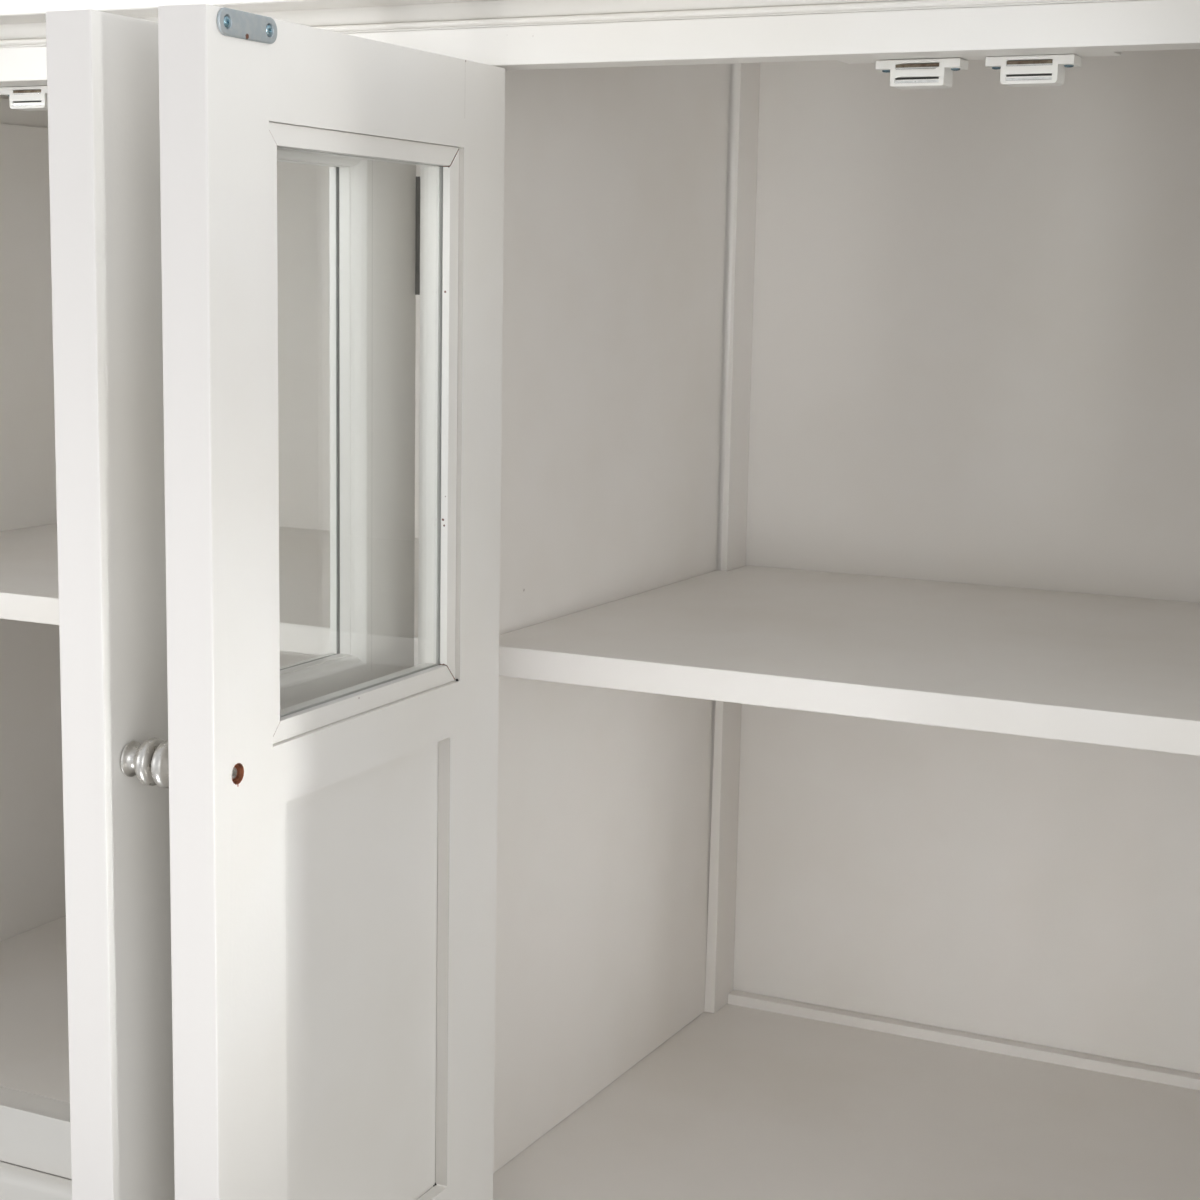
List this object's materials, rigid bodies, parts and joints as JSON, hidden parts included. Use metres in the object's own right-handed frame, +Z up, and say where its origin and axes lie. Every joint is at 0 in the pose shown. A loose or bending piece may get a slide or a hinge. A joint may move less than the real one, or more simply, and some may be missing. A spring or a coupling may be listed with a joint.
{
  "type": "buffet",
  "caption": "Low white lacquered buffet with a moulded top, paired doors half glazed and half panelled, a centre partition, fixed shelves, magnetic catches and a bracketed plinth.",
  "frame": {"origin": "middle of the footprint on the floor, with the doors open as pictured", "axes": "+X to the right along the front, +Y from the front to the back, +Z up"},
  "size_m": [1.303, 0.742, 0.8548],
  "materials": {
    "lacquer": "white satin lacquer on mahogany",
    "glass": "clear float glass",
    "zinc": "zinc plated",
    "nickel": "satin nickel",
    "catch_plastic": "painted over with the cabinet"
  },
  "bodies": {
    "carcass": {"table_top": "lacquer", "top_edging": "lacquer", "cornice_moulding": "lacquer", "face_frame": "lacquer", "front_post_left": "lacquer", "front_post_right": "lacquer", "rear_post_left": "lacquer", "rear_post_right": "lacquer", "side_frame_left": "lacquer", "side_frame_right": "lacquer", "partition": "lacquer", "back_panel": "lacquer", "floor_board": "lacquer", "shelf_left": "lacquer", "shelf_right": "lacquer", "plinth": "lacquer", "catch_1": "catch_plastic", "catch_2": "catch_plastic", "catch_3": "catch_plastic", "catch_4": "catch_plastic", "door_1_fixed_leaf_lower": "zinc", "door_1_fixed_leaf_upper": "zinc", "door_2_fixed_leaf_lower": "zinc", "door_2_fixed_leaf_upper": "zinc", "door_3_fixed_leaf_lower": "zinc", "door_3_fixed_leaf_upper": "zinc", "door_4_fixed_leaf_lower": "zinc", "door_4_fixed_leaf_upper": "zinc"},
    "door_1": {"door_1_frame": "lacquer", "door_1_panel": "lacquer", "door_1_glass": "glass", "door_1_bead": "lacquer", "door_1_knob": "nickel", "door_1_strike_plate": "zinc", "door_1_leaf_lower": "zinc", "door_1_leaf_upper": "zinc"},
    "door_2": {"door_2_frame": "lacquer", "door_2_panel": "lacquer", "door_2_glass": "glass", "door_2_bead": "lacquer", "door_2_knob": "nickel", "door_2_strike_plate": "zinc", "door_2_leaf_lower": "zinc", "door_2_leaf_upper": "zinc"},
    "door_3": {"door_3_frame": "lacquer", "door_3_panel": "lacquer", "door_3_glass": "glass", "door_3_bead": "lacquer", "door_3_knob": "nickel", "door_3_strike_plate": "zinc", "door_3_leaf_lower": "zinc", "door_3_leaf_upper": "zinc"},
    "door_4": {"door_4_frame": "lacquer", "door_4_panel": "lacquer", "door_4_glass": "glass", "door_4_bead": "lacquer", "door_4_knob": "nickel", "door_4_strike_plate": "zinc", "door_4_leaf_lower": "zinc", "door_4_leaf_upper": "zinc"}
  },
  "joints": [
    {"name": "door_1_hinge", "type": "hinge", "parent": "carcass", "child": "door_1", "pos_m": [-0.56875, -0.0938, 0.4545], "axis": [0, 0, -1], "range_deg": [-90, 80]},
    {"name": "door_2_hinge", "type": "hinge", "parent": "carcass", "child": "door_2", "pos_m": [-0.01325, -0.0938, 0.4545], "axis": [0, 0, 1], "range_deg": [-91, 0]},
    {"name": "door_3_hinge", "type": "hinge", "parent": "carcass", "child": "door_3", "pos_m": [0.01325, -0.0938, 0.4545], "axis": [0, 0, -1], "range_deg": [-88.26, 0]},
    {"name": "door_4_hinge", "type": "hinge", "parent": "carcass", "child": "door_4", "pos_m": [0.56875, -0.0938, 0.4545], "axis": [0, 0, 1], "range_deg": [-90, 80]}
  ]
}
